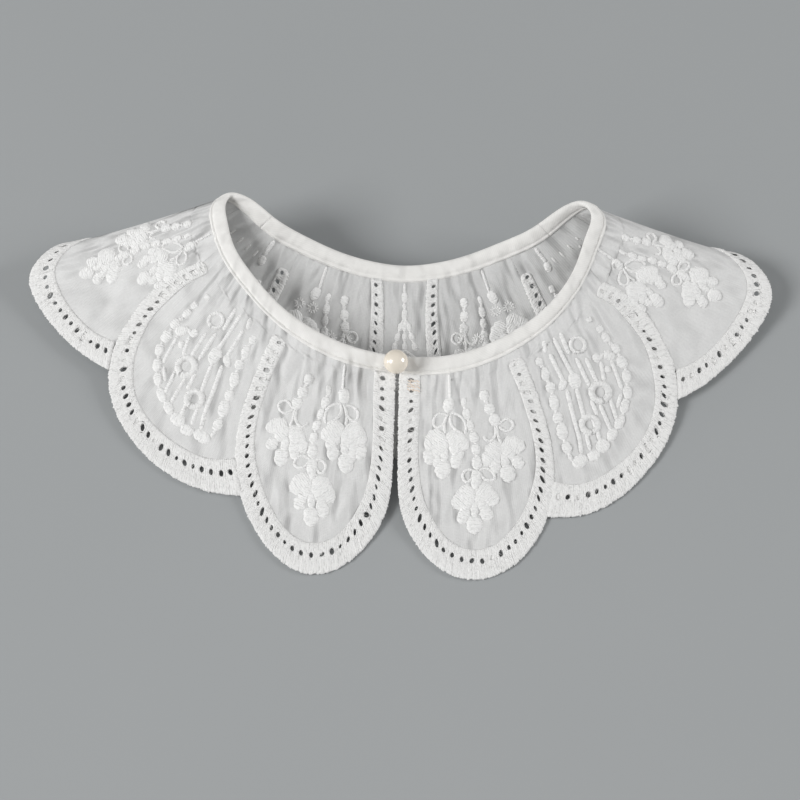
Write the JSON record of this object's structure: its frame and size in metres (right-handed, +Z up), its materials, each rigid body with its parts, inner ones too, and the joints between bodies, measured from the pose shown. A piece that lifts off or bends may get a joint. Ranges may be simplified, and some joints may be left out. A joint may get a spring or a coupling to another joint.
{
  "type": "lace collar",
  "caption": "Detachable lace collar of scalloped embroidered petals with stitched eyelet borders, a bias-bound round neckline and one pearl button at the front, laid flat.",
  "frame": {"origin": "centre of the plan box, on the table the collar lies on", "axes": "+X to the right across the collar, +Y from the front petals to the neckline, +Z up"},
  "size_m": [0.3182, 0.1616, 0.0377],
  "materials": {
    "cotton_lawn": "matte",
    "border_stitching": "matte",
    "bias_binding": "matte",
    "pearl": "gloss",
    "thread": "matte"
  },
  "bodies": {
    "root": {"front_petal_right": "cotton_lawn", "front_petal_left": "cotton_lawn", "side_petal_right": "cotton_lawn", "side_petal_left": "cotton_lawn", "shoulder_petal_right": "cotton_lawn", "shoulder_petal_left": "cotton_lawn", "rear_petal_right": "cotton_lawn", "rear_petal_left": "cotton_lawn", "back_petal_right": "cotton_lawn", "back_petal_left": "cotton_lawn", "centre_back_petal": "cotton_lawn", "front_border_right": "border_stitching", "front_border_left": "border_stitching", "side_border_right": "border_stitching", "side_border_left": "border_stitching", "shoulder_border_right": "border_stitching", "shoulder_border_left": "border_stitching", "rear_border_right": "border_stitching", "rear_border_left": "border_stitching", "back_border_right": "border_stitching", "back_border_left": "border_stitching", "centre_back_border": "border_stitching", "neck_binding_right": "bias_binding", "neck_binding_back": "bias_binding", "neck_binding_left": "bias_binding", "pearl_button": "pearl", "button_shank": "thread", "button_loop": "thread"}
  },
  "joints": []
}
